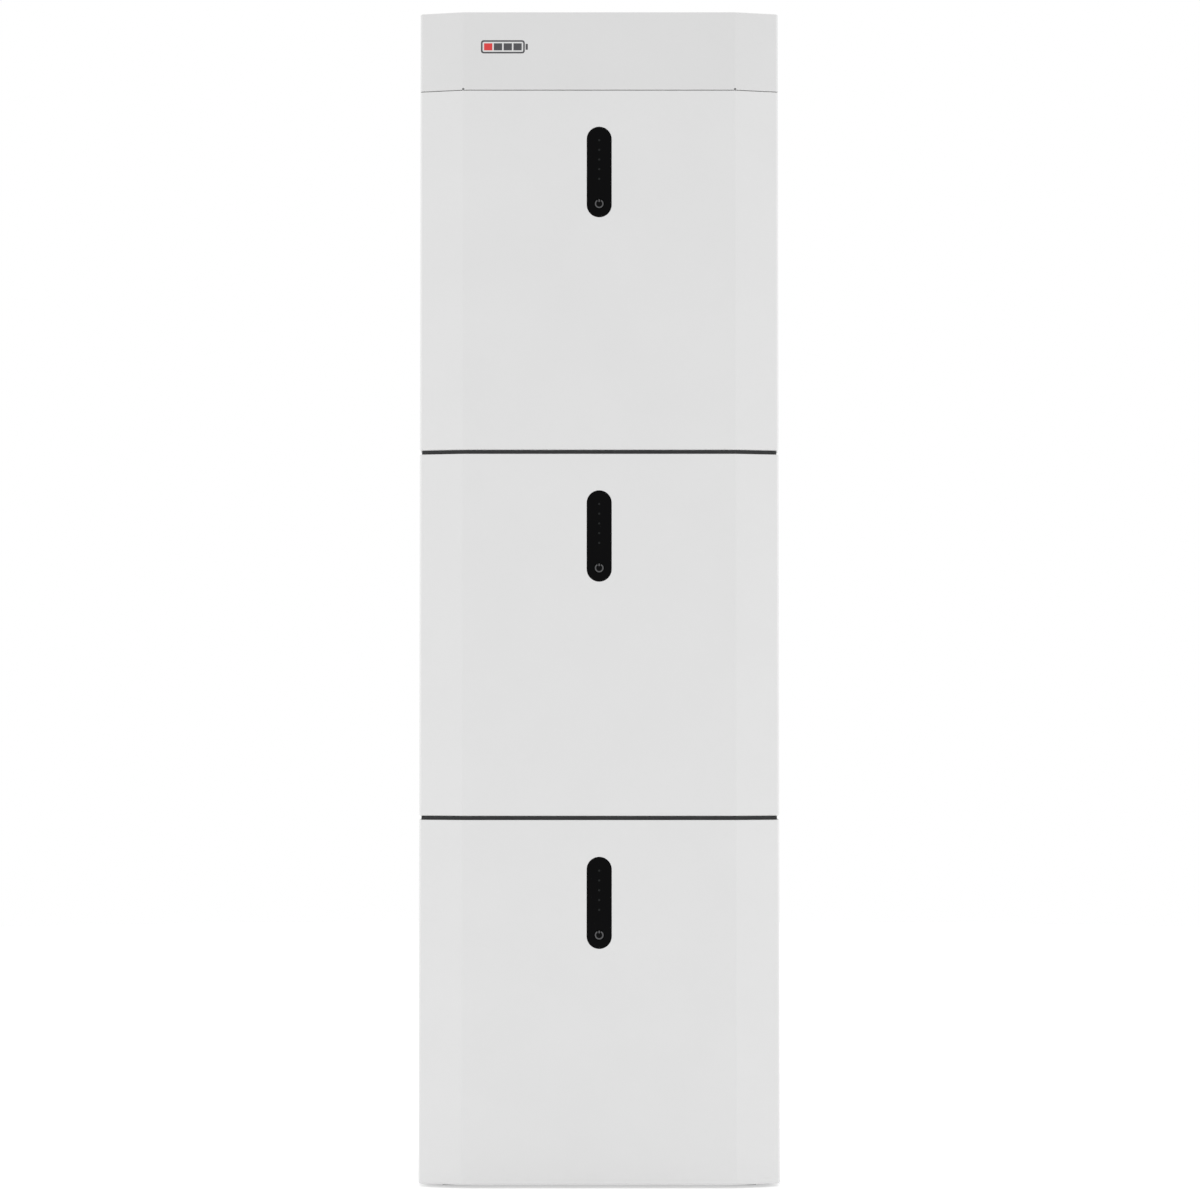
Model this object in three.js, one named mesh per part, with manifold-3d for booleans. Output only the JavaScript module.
// Wall battery unit: a tower of three identical battery modules, stacked on dark seals under a top cover.
// Each module is a sheet-metal chassis with a cell bank, a management board and a circuit breaker. It is
// closed at the front by a faceted cover with a status window and a power button, and at the right by a
// pull-off side cover over its wiring bay. Two rails behind the tower carry it on the wall.
// Millimetres, +Z up. The front faces -Y and the wall is at +Y. Origin: centre of the footprint, on the
// floor.

import * as THREE from "three";
import { mergeVertices } from "three/addons/utils/BufferGeometryUtils.js";
import Module from "manifold-3d";

const wasm = await Module();
wasm.setup();

// ---------------------------------------------------------------- driving dimensions

const MODULES = 3;
const WIDTH = 540; // across the side faces
const DEPTH = 240; // from the front face to the wall
const PITCH = 548; // height from one module to the next
const SEAM = 6; // visible gap between two modules
const FOOT = 5; // height of the foot rails under the lowest module
const CAP_HEIGHT = 118; // top cover
const CAP_GAP = 1; // joint under the top cover
const SHEET = 2; // wall of every cover and chassis
const FACET_WIDTH = 65.5; // slanted strip down each side of the front
const FACET_DEPTH = 16;
const BEND = 10; // radius of the bend between front and facet
const CORNER = 5; // radius of the bend between facet and side
const EDGE = 2.5; // rolled edge at the top and bottom of a cover
const CLEAR = 0.3; // gap between pieces that touch
const RUNNING = 0.5; // gap round a piece that moves or drops in

const HALF = WIDTH / 2;
const FRONT = -DEPTH / 2;
const WALL = DEPTH / 2;
const BACK = WALL - 20; // rear sheet of the modules
const HEIGHT = PITCH - SEAM; // one module
const RIM = -70; // rear edge of the front cover
const FLANGE = -67; // front plane of the chassis
const LIP = 16; // width of the flanges that hold the cover gasket

// Wiring bay: the open channel between the chassis box and the side cover.
const BAY = 212; // outer face of the chassis box, towards the bay
const BAY_END = HALF - SHEET - CLEAR; // edge of the flanges round the bay

// Status window and power button, in the module's own height.
const WINDOW = { width: 36.5, height: 136, top: HEIGHT - 55.3, face: FRONT + 0.4, sill: 4, plate: 3 };
const LED = { count: 5, first: WINDOW.top - 20, pitch: 14.6, side: 3.5, tall: 3, height: 1.4 };
const BUTTON = { z: WINDOW.top - WINDOW.height + 20, radius: 7.5, collar: 2, stem: 3, travel: 1.2 };
const BOARD_Y = -106; // front of the indicator board
const ROOT = 1; // how far one shape of a piece runs into the next

// Cells: two rows of eight prismatic cells, terminals to the front.
const CELL = { thick: 50, wide: 160, deep: 118, gap: 1.5, rows: 2, perRow: 8, groove: 3 };
const BANK = { x: -246, back: BACK - 4, z: 30, rowGap: 12 };
const BANK_LENGTH = CELL.perRow * CELL.thick + (CELL.perRow - 1) * CELL.gap;
const BANK_FRONT = BANK.back - CELL.deep;
const BANK_TOP = BANK.z + CELL.rows * CELL.wide + BANK.rowGap;

// Circuit breaker and its toggle, and the connectors behind it in the bay.
const BREAKER = { x0: 160, x1: 226, y0: -55, y1: -1, z0: 440, z1: 522, nose: 6 };
const TOGGLE = { x: 220, y: -28, z: 481, hub: 8, width: 18, length: 28, thick: 7, rest: 35 };
const PANEL = { y0: 8, y1: 92, z0: 415, z1: 527, thick: 8 };
const SOCKETS = { lower: 445, upper: 505, radius: 10, length: 13, data: 10 };
const POWER_LEADS = { positive: 24, negative: 52 }; // Y of each pole's sockets
const DATA_LEAD_Y = 79;
const POWER_CABLE = 11; // diameters
const DATA_CABLE = 6;
const CLIP = { z: 210, height: 12, y0: 10, y1: 90, floor: 240, end: 256 };

// Grip in the left wall, finger pull in the side cover, and the cable outlet at the top.
const GRIP = { y0: -45, y1: 65, z0: 440, z1: 474, depth: 24, flange: 7 };
const PULL = { y0: -52, y1: 8, z0: 236, z1: 264, depth: 20 };
const OUTLET = { x0: 130, x1: 230, z0: 10, z1: 34, top: 48, margin: 10 };
const TRAY = { inset: 4.5, curb: 14 };

// Openings through the seals and the tray: over the chassis, and over the bay.
const DECK = { x0: -250, x1: 196, y0: -95, y1: 82 };
const DECK_BAY = { x0: BAY + 4, x1: CLIP.end, y0: -56, y1: CLIP.y1 };

// Wall rails and the hooks that hang on them.
const RAIL = { x: 150, crown: 50, flange: 25, front: BACK + 6, z0: 60, z1: 1600 };
const HOOK = { width: 20, reach: 14, drop: 12, thick: 3, play: 2, heights: [130, 470] };
const BOLT_SLOT = { half: 4.5, halfHeight: 12, fromEnd: 60 };

// Rails under the lowest module.
const FOOT_RAIL = { x: 215, half: 20, y0: -80, y1: BACK - 8 };

// ---------------------------------------------------------------- materials

const paint = (color, roughness, metalness = 0) =>
  new THREE.MeshStandardMaterial({ color, roughness, metalness });

const MATERIALS = {
  white: paint(0xe4e4e3, 0.45),
  seal: paint(0x3c3d3f, 0.85),
  rubber: paint(0x1c1c1d, 0.8),
  glass: paint(0x08080a, 0.08),
  button: paint(0x111113, 0.25),
  darkPlastic: paint(0x2b2c2e, 0.6),
  greyPlastic: paint(0x9a9c9e, 0.55),
  cell: paint(0x2f5f8f, 0.4),
  aluminium: paint(0xb8babc, 0.35, 1),
  carrier: paint(0xd8d4c4, 0.6),
  board: paint(0x1d5a35, 0.5),
  orange: paint(0xd8641e, 0.5),
  black: paint(0x161617, 0.55),
  grey: paint(0x77797c, 0.55),
  galvanised: paint(0xa9adb0, 0.4, 1),
};

// ---------------------------------------------------------------- solids

const CURVE_STEPS = 4;
const ROUND_SIDES = 16;
const EDGE_STEPS = 2;

// A closed three.js geometry as a manifold solid.
function solid(geometry) {
  const bare = new THREE.BufferGeometry();
  bare.setAttribute("position", geometry.getAttribute("position"));
  bare.setIndex(geometry.index);
  const merged = mergeVertices(bare, 1e-4);
  return new wasm.Manifold(
    new wasm.Mesh({
      numProp: 3,
      vertProperties: merged.attributes.position.array,
      triVerts: new Uint32Array(merged.index.array),
    }),
  );
}

const union = (...solids) => solids.reduce((whole, next) => whole.add(next));
const cut = (whole, ...tools) => tools.reduce((left, tool) => left.subtract(tool), whole);

// A box between two values on each axis.
function box(x0, x1, y0, y1, z0, z1) {
  const geometry = new THREE.BoxGeometry(x1 - x0, y1 - y0, z1 - z0);
  return solid(geometry.translate((x0 + x1) / 2, (y0 + y1) / 2, (z0 + z1) / 2));
}

// A round bar between two values on the named axis, centred on the other two.
function bar(axis, radius, from, to, u, v, sides = ROUND_SIDES) {
  const geometry = new THREE.CylinderGeometry(radius, radius, to - from, sides);
  const middle = (from + to) / 2;
  if (axis === "x") return solid(geometry.rotateZ(Math.PI / 2).translate(middle, u, v));
  if (axis === "y") return solid(geometry.translate(u, middle, v));
  return solid(geometry.rotateX(Math.PI / 2).translate(u, v, middle));
}

// A plan outline, raised from z0 to z1, with its top and bottom edges rounded by edge.
function raise(shape, z0, z1, edge = 0) {
  const geometry = new THREE.ExtrudeGeometry(shape, {
    depth: z1 - z0 - 2 * edge,
    curveSegments: CURVE_STEPS,
    bevelEnabled: edge > 0,
    bevelThickness: edge,
    bevelSize: edge,
    bevelOffset: -edge,
    bevelSegments: EDGE_STEPS,
  });
  return solid(geometry.translate(0, 0, z0 + edge));
}

// An outline drawn in X and Z, made solid from y0 to y1.
function facing(shape, y0, y1) {
  const geometry = new THREE.ExtrudeGeometry(shape, {
    depth: y1 - y0,
    curveSegments: CURVE_STEPS + 1,
    bevelEnabled: false,
  });
  return solid(geometry.rotateX(Math.PI / 2).translate(0, y1, 0));
}

// A closed outline through corners [x, y, radius], counter-clockwise.
function outline(corners) {
  const shape = new THREE.Shape();
  corners.forEach(([x, y, radius], i) => {
    const corner = new THREE.Vector2(x, y);
    const before = new THREE.Vector2(...corners.at(i - 1)).sub(corner).normalize();
    const after = new THREE.Vector2(...corners[(i + 1) % corners.length]).sub(corner).normalize();
    const reach = radius / Math.tan(Math.acos(before.dot(after)) / 2);
    const start = corner.clone().addScaledVector(before, reach);
    const end = corner.clone().addScaledVector(after, reach);
    if (i === 0) shape.moveTo(start.x, start.y);
    else shape.lineTo(start.x, start.y);
    if (radius > 0) shape.quadraticCurveTo(x, y, end.x, end.y);
  });
  shape.closePath();
  return shape;
}

// Convex corners moved inwards by a distance, with their radii reduced to suit.
function inset(corners, distance) {
  return corners.map(([x, y, radius], i) => {
    const [bx, by] = corners.at(i - 1);
    const [ax, ay] = corners[(i + 1) % corners.length];
    const into = new THREE.Vector2(x - bx, y - by).normalize();
    const out = new THREE.Vector2(ax - x, ay - y).normalize();
    const scale = distance / (1 + into.dot(out));
    return [x - (into.y + out.y) * scale, y + (into.x + out.x) * scale, Math.max(radius - distance, 0)];
  });
}

// Plan of the tower, moved inwards by a distance: flat front, a facet at each side, straight sides to rear.
function plan(rear, distance = 0) {
  const corners = [
    [-HALF, rear, 0],
    [-HALF, FRONT + FACET_DEPTH, CORNER],
    [-HALF + FACET_WIDTH, FRONT, BEND],
    [HALF - FACET_WIDTH, FRONT, BEND],
    [HALF, FRONT + FACET_DEPTH, CORNER],
    [HALF, rear, 0],
  ];
  return outline(inset(corners, distance));
}

// An upright slot with round ends, drawn in X and Z about the window's centre line.
function pill(width, top, bottom) {
  const radius = width / 2;
  const shape = new THREE.Shape();
  shape.absarc(0, top - radius, radius, 0, Math.PI);
  shape.absarc(0, bottom + radius, radius, Math.PI, 2 * Math.PI);
  shape.closePath();
  return shape;
}

// A round cable along a smooth curve through points.
function cable(points, diameter) {
  const path = new THREE.CatmullRomCurve3(points.map((p) => new THREE.Vector3(...p)));
  const section = new THREE.Shape();
  section.absarc(0, 0, diameter / 2, 0, 2 * Math.PI);
  const steps = Math.round(path.getLength() / (3 * diameter));
  const geometry = new THREE.ExtrudeGeometry(section, {
    steps,
    curveSegments: CURVE_STEPS,
    extrudePath: path,
  });
  return solid(geometry);
}

// ---------------------------------------------------------------- one module, from z = 0 to HEIGHT

function hooks() {
  const made = [];
  for (const x of [-RAIL.x, RAIL.x])
    for (const z of HOOK.heights) {
      const [x0, x1] = [x - HOOK.width / 2, x + HOOK.width / 2];
      const end = BACK + HOOK.reach;
      made.push(box(x0, x1, BACK - SHEET / 2, end, z, z + HOOK.thick));
      made.push(box(x0, x1, end - HOOK.thick, end, z - HOOK.drop, z + HOOK.thick));
    }
  return union(...made);
}

// A comb that holds the three leads apart as they pass down the bay.
function leadClip() {
  const { z, height, y0, y1, floor, end } = CLIP;
  const slots = [
    [POWER_LEADS.positive, POWER_CABLE],
    [POWER_LEADS.negative, POWER_CABLE],
    [DATA_LEAD_Y, DATA_CABLE],
  ].map(([y, diameter]) => {
    const half = diameter / 2 + RUNNING;
    const depth = floor + (POWER_CABLE - diameter) / 2;
    return box(depth, end + 1, y - half, y + half, z - 1, z + height + 1);
  });
  return cut(box(BAY - SHEET / 2, end, y0, y1, z, z + height), ...slots);
}

// The opening that a boxed piece passes through, with running room all round it.
function hole(x0, x1, { y0, y1, z0, z1 }) {
  return box(x0, x1, y0 - RUNNING, y1 + RUNNING, z0 - RUNNING, z1 + RUNNING);
}

function chassis() {
  const shell = union(
    box(-HALF, BAY, FLANGE, BACK, 0, HEIGHT),
    box(BAY - SHEET, BAY_END, FLANGE, FLANGE + SHEET, 0, HEIGHT),
    box(BAY - SHEET, BAY_END, BACK - SHEET, BACK, 0, HEIGHT),
    leadClip(),
    hooks(),
  );
  const inside = BAY - SHEET;
  const lip = LIP + SHEET;
  return cut(
    shell,
    box(-HALF + SHEET, inside, FLANGE + SHEET, BACK - SHEET, SHEET, HEIGHT - SHEET),
    box(-HALF + lip, inside - LIP, FLANGE - 1, FLANGE + SHEET + 1, lip, HEIGHT - lip),
    hole(inside - 1, BAY + 1, BREAKER),
    hole(-HALF - 1, -HALF + SHEET + 1, GRIP),
  );
}

function frontCover() {
  const shell = cut(
    raise(plan(RIM + 2 * EDGE), 0, HEIGHT, EDGE),
    raise(plan(RIM + 4 * EDGE, SHEET), SHEET, HEIGHT - SHEET),
  );
  const lip = cut(
    box(-HALF + SHEET / 2, HALF - SHEET / 2, RIM - SHEET, RIM, SHEET / 2, HEIGHT - SHEET / 2),
    box(-HALF + LIP, HALF - LIP, RIM - SHEET - 1, RIM + 1, LIP, HEIGHT - LIP),
  );
  const { width, height, top } = WINDOW;
  return cut(
    union(shell, lip),
    box(-HALF - 1, HALF + 1, RIM, RIM + 4 * EDGE, -1, HEIGHT + 1),
    facing(pill(width + 2 * RUNNING, top + RUNNING, top - height - RUNNING), FRONT - 1, FRONT + 2 * SHEET),
  );
}

function coverGasket() {
  const outer = 4;
  const band = 10;
  const inner = outer + band;
  const [y0, y1] = [RIM + CLEAR, FLANGE - CLEAR];
  return cut(
    box(-HALF + outer, HALF - outer, y0, y1, outer, HEIGHT - outer),
    box(-HALF + inner, HALF - inner, y0 - 1, y1 + 1, inner, HEIGHT - inner),
  );
}

function sideCover() {
  const inner = HALF - SHEET;
  const returnDepth = 12;
  const { y0, y1, z0, z1, depth } = PULL;
  const front = FLANGE + SHEET + RUNNING;
  const rear = BACK - SHEET - RUNNING;
  const shell = union(
    box(inner, HALF, FLANGE, BACK, 0, HEIGHT),
    box(inner - returnDepth, HALF, front, front + SHEET, SHEET, HEIGHT - SHEET),
    box(inner - returnDepth, HALF, rear - SHEET, rear, SHEET, HEIGHT - SHEET),
    box(HALF - depth - SHEET, HALF, y0 - SHEET, y1 + SHEET, z0 - SHEET, z1 + SHEET),
  );
  return cut(shell, box(HALF - depth, HALF + 1, y0, y1, z0, z1));
}

function gripCup() {
  const { y0, y1, z0, z1, depth, flange } = GRIP;
  const seat = -HALF + SHEET + CLEAR;
  const cup = union(
    box(-HALF + CLEAR, -HALF + depth, y0, y1, z0, z1),
    box(seat, seat + SHEET, y0 - flange, y1 + flange, z0 - flange, z1 + flange),
  );
  const hollow = [y0 + SHEET, y1 - SHEET, z0 + SHEET, z1 - SHEET];
  return cut(cup, box(-HALF - 1, -HALF + depth - SHEET, ...hollow));
}

// Sixteen cells in two rows, drawn as one block with a groove between neighbours.
function cellBank() {
  const { thick, wide, gap, rows, perRow, groove } = CELL;
  const [x0, x1] = [BANK.x, BANK.x + BANK_LENGTH];
  const block = box(x0, x1, BANK_FRONT, BANK.back, BANK.z, BANK_TOP);
  const grooves = [];
  for (let i = 1; i < perRow; i++) {
    const x = x0 + i * (thick + gap) - gap;
    grooves.push(box(x, x + gap, BANK_FRONT - 1, BANK_FRONT + groove, BANK.z - 1, BANK_TOP + 1));
  }
  for (let row = 1; row < rows; row++) {
    const z = BANK.z + row * (wide + BANK.rowGap) - BANK.rowGap;
    grooves.push(box(x0 - 1, x1 + 1, BANK_FRONT - 1, BANK_FRONT + 2 * groove, z, z + BANK.rowGap));
  }
  return cut(block, ...grooves);
}

// End plates drawn together by four straps, which keep the cells pressed.
function compressionFrame() {
  const plate = 12;
  const strap = { width: 30, thick: 2, inset: 14 };
  const left = BANK.x - CLEAR;
  const right = BANK.x + BANK_LENGTH + CLEAR;
  const low = BANK.z - CLEAR - strap.thick;
  const high = BANK_TOP + CLEAR + strap.thick;
  const made = [
    box(left - plate, left, BANK_FRONT, BANK.back, low, high),
    box(right, right + plate, BANK_FRONT, BANK.back, low, high),
  ];
  for (const y of [BANK_FRONT + strap.inset, BANK.back - strap.inset - strap.width])
    for (const z of [low, high - strap.thick])
      made.push(box(left - plate, right + plate, y, y + strap.width, z, z + strap.thick));
  return union(...made);
}

// Moulded tray over the terminals, with the busbars that join the cells in series.
function busbarCarrier() {
  const { thick, wide, gap, rows, perRow } = CELL;
  const terminals = { low: 0.25 * wide, high: 0.75 * wide }; // heights on a cell's face
  const tray = { front: BANK_FRONT - 7, back: BANK_FRONT - CLEAR, margin: 4 };
  const link = { width: 64, height: 24, thick: 3 };
  const riser = { half: 12 };
  const lead = { x: BANK.x + thick / 2, half: 9, above: 30 };
  const made = [
    box(
      BANK.x + tray.margin,
      BANK.x + BANK_LENGTH - tray.margin,
      tray.front,
      tray.back,
      BANK.z + tray.margin,
      BANK_TOP - tray.margin,
    ),
  ];
  const bars = (x0, x1, z0, z1) => box(x0, x1, tray.front - link.thick, tray.front + ROOT, z0, z1);
  for (let row = 0; row < rows; row++)
    for (let i = 1; i < perRow; i++) {
      const x = BANK.x + i * (thick + gap) - gap / 2;
      const level = (i + row) % 2 ? terminals.low : terminals.high;
      const z = BANK.z + row * (wide + BANK.rowGap) + level;
      made.push(bars(x - link.width / 2, x + link.width / 2, z - link.height / 2, z + link.height / 2));
    }
  const end = BANK.x + BANK_LENGTH - thick / 2;
  const middle = BANK.z + 1.5 * wide;
  made.push(bars(end - riser.half, end + riser.half, BANK.z + terminals.low, middle));
  made.push(bars(lead.x - lead.half, lead.x + lead.half, middle, BANK_TOP + lead.above));
  return union(...made);
}

// Battery management board, standing above the cells on its heat sink.
function bmsBoard() {
  const board = { x0: -232, x1: 130, y: 36, thick: 2, z0: 386, z1: 528 };
  const sink = { x0: -190, x1: 120, z0: 450, z1: 520, depth: 22, margin: 2, fin: 4, fins: 9, pitch: 36 };
  const rear = board.y + board.thick;
  const fins = rear + sink.depth;
  const made = [
    box(board.x0, board.x1, board.y, rear, board.z0, board.z1),
    box(sink.x0, sink.x1, rear - board.thick / 2, fins, sink.z0, sink.z1),
  ];
  for (let i = 0; i < sink.fins; i++) {
    const x = sink.x0 + sink.margin + i * sink.pitch;
    made.push(box(x, x + sink.fin, fins - ROOT, fins + sink.depth, sink.z0, sink.z1));
  }
  // Parts on the front of the board: [x, z, width, height, depth].
  const parts = [
    [-205, 480, 40, 60, 34],
    [-155, 480, 40, 60, 34],
    [-95, 455, 50, 22, 14],
    [-95, 495, 50, 22, 14],
    [-30, 460, 26, 26, 8],
    [20, 500, 60, 18, 12],
    [20, 410, 90, 16, 12],
    [90, 455, 44, 30, 20],
    [-150, 408, 90, 16, 12],
  ];
  for (const [x, z, width, height, depth] of parts)
    made.push(
      box(x - width / 2, x + width / 2, board.y - depth, board.y + ROOT, z - height / 2, z + height / 2),
    );
  return union(...made);
}

function breakerBody() {
  const { x0, x1, y0, y1, z0, z1, nose } = BREAKER;
  const shoulder = 22;
  const slot = { floor: TOGGLE.x - TOGGLE.hub - 2, half: TOGGLE.width / 2 + 1, swing: 15 };
  const { y, z } = TOGGLE;
  return cut(
    union(box(x0, x1, y0, y1, z0, z1), box(x1 - ROOT, x1 + nose, y0, y1, z0 + shoulder, z1 - shoulder)),
    box(slot.floor, x1 + nose + 1, y - slot.half, y + slot.half, z - slot.swing, z + slot.swing),
  );
}

// The toggle at rest is ON, tilted up; it swings down through twice its rest angle.
function breakerToggle() {
  const { x, y, z, hub, width, length, thick, rest } = TOGGLE;
  const lever = new THREE.BoxGeometry(length, width - 2 * ROOT, thick)
    .translate(length / 2, 0, 0)
    .rotateY(-THREE.MathUtils.degToRad(rest))
    .translate(x, y, z);
  return union(bar("y", hub, y - width / 2, y + width / 2, x, z), solid(lever));
}

// Panel with a row of capped sockets at its foot and another at its head.
function connectorPanel() {
  const { y0, y1, z0, z1, thick } = PANEL;
  const face = BAY + CLEAR + thick;
  const port = { y0: DATA_LEAD_Y - 9, y1: DATA_LEAD_Y + 9, half: 9 };
  const sides = 12;
  const made = [box(BAY + CLEAR, face, y0, y1, z0, z1)];
  for (const z of [SOCKETS.lower, SOCKETS.upper]) {
    for (const y of Object.values(POWER_LEADS))
      made.push(bar("x", SOCKETS.radius, face - ROOT, face + SOCKETS.length, y, z, sides));
    made.push(box(face - ROOT, face + SOCKETS.data, port.y0, port.y1, z - port.half, z + port.half));
  }
  return union(...made);
}

// Black lens with a sill behind the cover, the button's hole, and four posts that locate the board.
function indicatorWindow() {
  const { width, height, top, face, sill, plate } = WINDOW;
  const seat = FRONT + SHEET + CLEAR;
  const bottom = top - height;
  const post = { half: 2, x: width / 2 - 4, fromTop: 30, fromBottom: 38 };
  const made = [
    facing(pill(width, top, bottom), face, seat + ROOT),
    facing(pill(width + 2 * sill, top + sill, bottom - sill), seat, seat + plate),
  ];
  const { half } = post;
  for (const x of [-post.x, post.x])
    for (const z of [top - post.fromTop, bottom + post.fromBottom])
      made.push(box(x - half, x + half, seat + plate - ROOT, BOARD_Y - CLEAR, z - half, z + half));
  const rear = seat + plate + 1;
  return cut(union(...made), bar("y", BUTTON.radius + RUNNING, face - 1, rear, 0, BUTTON.z));
}

// Round button with a collar that stops against the back of the window, and a stem towards its switch.
function powerButton() {
  const { z, radius, collar, stem, travel } = BUTTON;
  const behind = FRONT + SHEET + CLEAR + WINDOW.plate + CLEAR;
  const collarThick = 1.5;
  const switchHeight = 1;
  const stemSides = 8;
  return union(
    bar("y", radius, WINDOW.face, behind + ROOT, 0, z),
    bar("y", radius + collar, behind, behind + collarThick, 0, z),
    bar("y", stem, behind + ROOT, BOARD_Y - switchHeight - travel - CLEAR, 0, z, stemSides),
  );
}

// Small board behind the window, with its lamps, the button's switch and a plug for its ribbon.
function indicatorBoard() {
  const { top, height } = WINDOW;
  const board = { half: 17, thick: 1.6, margin: 3 };
  const rear = BOARD_Y + board.thick;
  const tact = { half: 3, front: BOARD_Y - 1 };
  const plug = { half: 10, depth: 6, z0: top - 40, z1: top - 32 };
  const into = board.thick / 2;
  const made = [
    box(-board.half, board.half, BOARD_Y, rear, top - height + board.margin, top - board.margin),
    box(-tact.half, tact.half, tact.front, BOARD_Y + into, BUTTON.z - tact.half, BUTTON.z + tact.half),
    box(-plug.half, plug.half, rear - into, rear + plug.depth, plug.z0, plug.z1),
  ];
  for (let i = 0; i < LED.count; i++) {
    const z = LED.first - i * LED.pitch;
    const [low, high] = [z - LED.tall / 2, z + LED.tall / 2];
    made.push(box(-LED.side / 2, LED.side / 2, BOARD_Y - LED.height, BOARD_Y + into, low, high));
  }
  return union(...made);
}

// ---------------------------------------------------------------- links, in the lower module's height

// Dark seal in the gap between two modules, open over the chassis and over the bay.
function stackSeal() {
  const setBack = 3.5; // behind the covers' faces
  const [z0, z1] = [HEIGHT + CLEAR, PITCH - CLEAR];
  return cut(raise(plan(BACK, setBack), z0, z1), ...deckOpenings(z0, z1));
}

function deckOpenings(z0, z1) {
  return [DECK, DECK_BAY].map(({ x0, x1, y0, y1 }) => box(x0, x1, y0, y1, z0 - 1, z1 + 1));
}

// A lead from this module's upper socket to the next module's lower one, with an angled plug at each end.
function lead(y, diameter, plug) {
  const low = SOCKETS.upper + plug.half;
  const high = PITCH + SOCKETS.lower - plug.half;
  const clip = PITCH + CLIP.z + CLIP.height / 2;
  const x = CLIP.floor + POWER_CABLE / 2 + RUNNING;
  const bow = 5; // slack either side of the clip
  const sunk = 2; // into each plug
  const straight = { plug: 20, clip: 16 };
  const path = [
    [x, y, low - sunk],
    [x, y, low + straight.plug],
    [x + bow, y, (low + clip) / 2],
    [x, y, clip - straight.clip],
    [x, y, clip + straight.clip],
    [x + bow, y, (high + clip) / 2],
    [x, y, high - straight.plug],
    [x, y, high + sunk],
  ];
  const plugs = [SOCKETS.upper, PITCH + SOCKETS.lower].map((z) =>
    box(plug.x, x + plug.cover, y - plug.side, y + plug.side, z - plug.half, z + plug.half),
  );
  return union(cable(path, diameter), ...plugs);
}

const powerPlug = { x: BAY + 2 * CLEAR + PANEL.thick + SOCKETS.length, cover: 9, side: 11.5, half: 15 };
const dataPlug = { x: BAY + 2 * CLEAR + PANEL.thick + SOCKETS.data, cover: 5, side: 6.5, half: 9 };

// ---------------------------------------------------------------- top pieces, in the top module's height

// Tray that locates the top cover and carries the cable outlet at the rear.
function topTray() {
  const z0 = HEIGHT + CLEAR;
  const rear = BACK - TRAY.inset;
  const beside = 20; // of the outlet's plate, each side of its slot
  const deck = raise(plan(BACK, TRAY.inset), z0, z0 + SHEET);
  const curb = cut(
    raise(plan(BACK, TRAY.inset), z0, z0 + TRAY.curb),
    raise(plan(BACK, TRAY.inset + SHEET), z0 - 1, z0 + TRAY.curb + 1),
  );
  const outletPlate = [OUTLET.x0 - beside, OUTLET.x1 + beside, rear - SHEET, rear, z0, z0 + OUTLET.top];
  const slot = [OUTLET.x0, OUTLET.x1, rear - SHEET - 1, rear + 1, z0 + OUTLET.z0, z0 + OUTLET.z1];
  return cut(union(deck, curb, box(...outletPlate)), box(...slot), ...deckOpenings(z0, z0 + SHEET));
}

// Rubber edging in the cable outlet: a flange on each face of the tray's plate and a neck through it.
function outletGrommet() {
  const z0 = HEIGHT + CLEAR;
  const [x0, x1, low, high] = [OUTLET.x0, OUTLET.x1, z0 + OUTLET.z0, z0 + OUTLET.z1];
  const lip = { side: 4, thick: 1.5 };
  const neck = 3.5; // from the slot's edge to the edging's own opening
  const outside = BACK - TRAY.inset + CLEAR;
  const inside = BACK - TRAY.inset - SHEET - CLEAR;
  const flange = (y0, y1) => box(x0 - lip.side, x1 + lip.side, y0, y1, low - lip.side, high + lip.side);
  return cut(
    union(
      box(x0 + CLEAR, x1 - CLEAR, inside - ROOT, outside + ROOT, low + CLEAR, high - CLEAR),
      flange(inside - lip.thick, inside),
      flange(outside, outside + lip.thick),
    ),
    box(x0 + neck, x1 - neck, inside - 2 * lip.thick, outside + 2 * lip.thick, low + neck, high - neck),
  );
}

// Folded hood with a relief hole where each front bend meets the lower edge.
function topCover() {
  const z0 = HEIGHT + CAP_GAP;
  const z1 = z0 + CAP_HEIGHT;
  const reliefRadius = 1.5;
  const reliefSides = 12;
  const outlet = [OUTLET.x0 - OUTLET.margin, OUTLET.x1 + OUTLET.margin];
  const bendX = HALF - FACET_WIDTH;
  const reliefs = [-bendX, bendX].map((x) =>
    bar("y", reliefRadius, FRONT - 1, FRONT + 2 * SHEET, x, z0 + CAP_GAP, reliefSides),
  );
  const skirt = 2 * EDGE; // raised lower, then cut off, so that only the top edge is rounded
  return cut(
    raise(plan(BACK), z0 - skirt, z1, EDGE),
    raise(plan(BACK, SHEET), z0 - skirt - 1, z1 - SHEET),
    box(-HALF - 1, HALF + 1, FRONT - 1, BACK + 1, z0 - skirt - 1, z0),
    box(...outlet, BACK - SHEET - 1, BACK + 1, z0 - 1, z0 + OUTLET.top),
    ...reliefs,
  );
}

// ---------------------------------------------------------------- rails, in the tower's height

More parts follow.
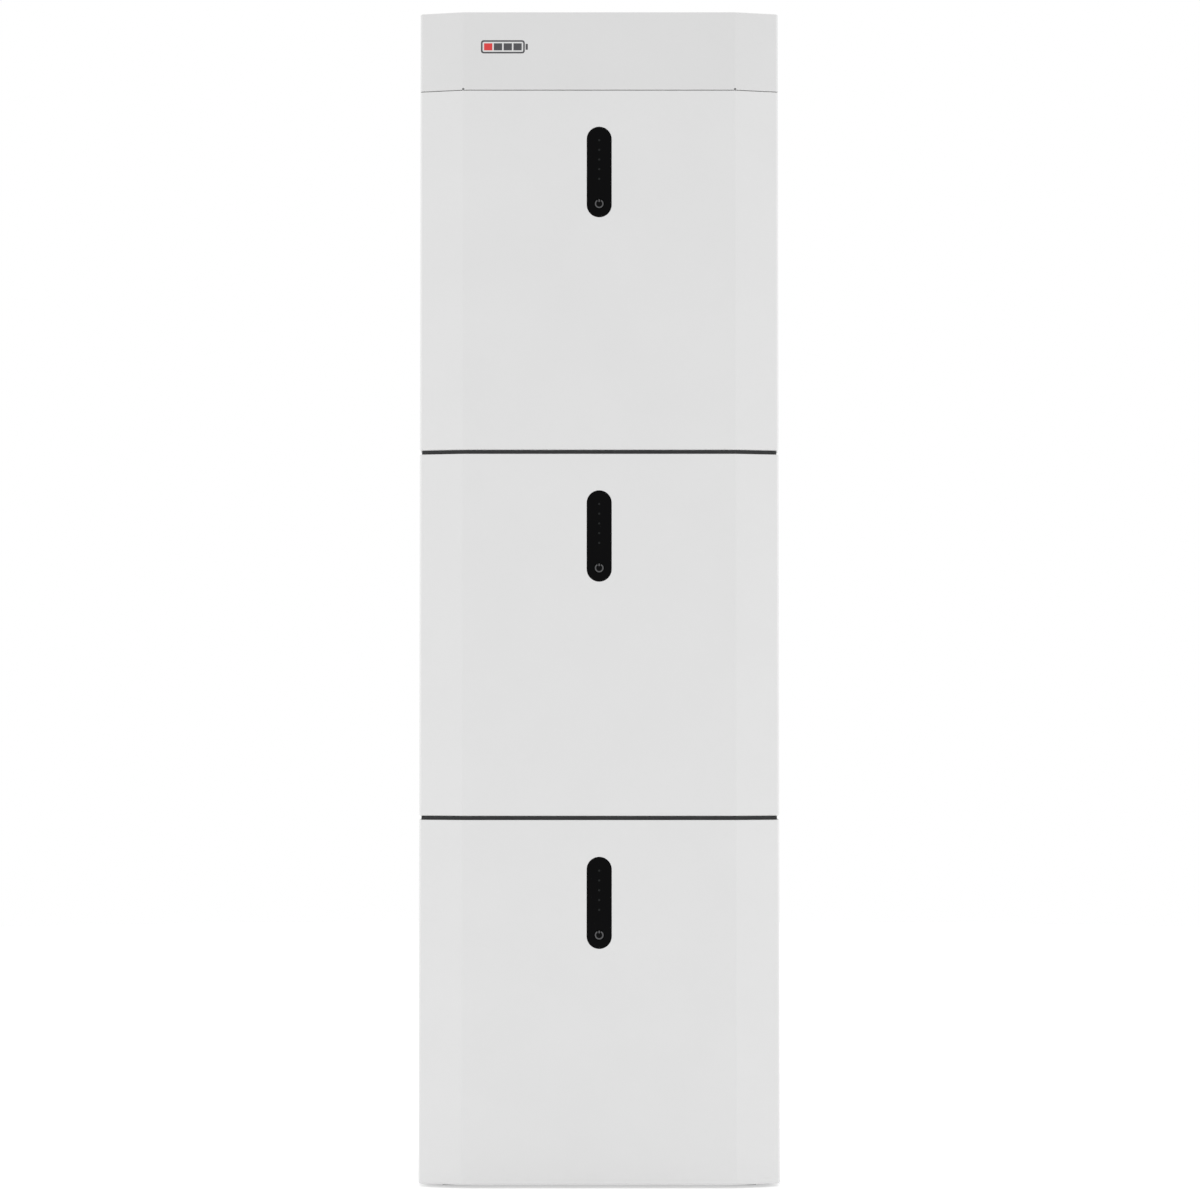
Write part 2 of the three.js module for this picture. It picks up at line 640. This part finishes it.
// Hat-section rail: flanges on the wall, and a raised crown with a window for each hook.
function wallRail(x) {
  const { crown, flange, front, z0, z1 } = RAIL;
  const [inner, outer] = [crown / 2, crown / 2 + flange];
  const rail = cut(
    union(
      box(x - inner, x + inner, front, WALL, z0, z1),
      box(x - outer, x + outer, WALL - SHEET, WALL, z0, z1),
    ),
    box(x - inner + SHEET, x + inner - SHEET, front + SHEET, WALL + 1, z0 - 1, z1 + 1),
  );
  const windows = [];
  for (let n = 0; n < MODULES; n++)
    for (const z of HOOK.heights) {
      const half = HOOK.width / 2 + HOOK.play;
      const level = FOOT + n * PITCH + z;
      const top = level + HOOK.thick + HOOK.drop + HOOK.play;
      windows.push(box(x - half, x + half, front - 1, front + SHEET + 1, level - CLEAR, top));
    }
  const slots = [];
  const { half, halfHeight, fromEnd } = BOLT_SLOT;
  const offset = (inner + outer) / 2;
  for (const u of [x - offset, x + offset])
    for (const z of [z0 + fromEnd, (z0 + z1) / 2, z1 - fromEnd])
      slots.push(box(u - half, u + half, WALL - SHEET - 1, WALL + 1, z - halfHeight, z + halfHeight));
  return cut(rail, ...windows, ...slots);
}

function footRail(x) {
  const { half, y0, y1 } = FOOT_RAIL;
  return box(x - half, x + half, y0, y1, 0, FOOT - CLEAR);
}

// ---------------------------------------------------------------- assembly

function place(group, name, shape, material) {
  const { vertProperties, triVerts } = shape.getMesh();
  const geometry = new THREE.BufferGeometry();
  geometry.setAttribute("position", new THREE.BufferAttribute(vertProperties, 3));
  geometry.setIndex(new THREE.BufferAttribute(triVerts, 1));
  const mesh = new THREE.Mesh(geometry, material);
  mesh.name = name;
  group.add(mesh);
}

const M = MATERIALS;
const MODULE_PIECES = [
  ["chassis", chassis(), M.white],
  ["front_cover", frontCover(), M.white],
  ["cover_gasket", coverGasket(), M.rubber],
  ["side_cover", sideCover(), M.white],
  ["grip_cup", gripCup(), M.darkPlastic],
  ["compression_frame", compressionFrame(), M.aluminium],
  ["cell_bank", cellBank(), M.cell],
  ["busbar_carrier", busbarCarrier(), M.carrier],
  ["bms_board", bmsBoard(), M.board],
  ["breaker_body", breakerBody(), M.greyPlastic],
  ["breaker_toggle", breakerToggle(), M.black],
  ["connector_panel", connectorPanel(), M.darkPlastic],
  ["indicator_window", indicatorWindow(), M.glass],
  ["power_button", powerButton(), M.button],
  ["indicator_board", indicatorBoard(), M.board],
];
const LINK_PIECES = [
  ["stack_seal", stackSeal(), M.seal],
  ["positive_lead", lead(POWER_LEADS.positive, POWER_CABLE, powerPlug), M.orange],
  ["negative_lead", lead(POWER_LEADS.negative, POWER_CABLE, powerPlug), M.black],
  ["data_lead", lead(DATA_LEAD_Y, DATA_CABLE, dataPlug), M.grey],
];
const TOP_PIECES = [
  ["top_cover", topCover(), M.white],
  ["top_tray", topTray(), M.white],
  ["outlet_grommet", outletGrommet(), M.rubber],
];

const tower = new THREE.Group();
for (let n = 0; n < MODULES; n++) {
  const level = new THREE.Group();
  level.position.z = FOOT + n * PITCH;
  tower.add(level);
  for (const [name, shape, material] of MODULE_PIECES) place(level, `${name}_${n + 1}`, shape, material);
  const above = n + 1 < MODULES ? LINK_PIECES : TOP_PIECES;
  const suffix = n + 1 < MODULES ? `_${n + 1}` : "";
  for (const [name, shape, material] of above) place(level, name + suffix, shape, material);
}
for (const [side, sign] of [
  ["left", -1],
  ["right", 1],
]) {
  place(tower, `wall_rail_${side}`, wallRail(sign * RAIL.x), M.galvanised);
  place(tower, `foot_rail_${side}`, footRail(sign * FOOT_RAIL.x), M.rubber);
}

export default tower;
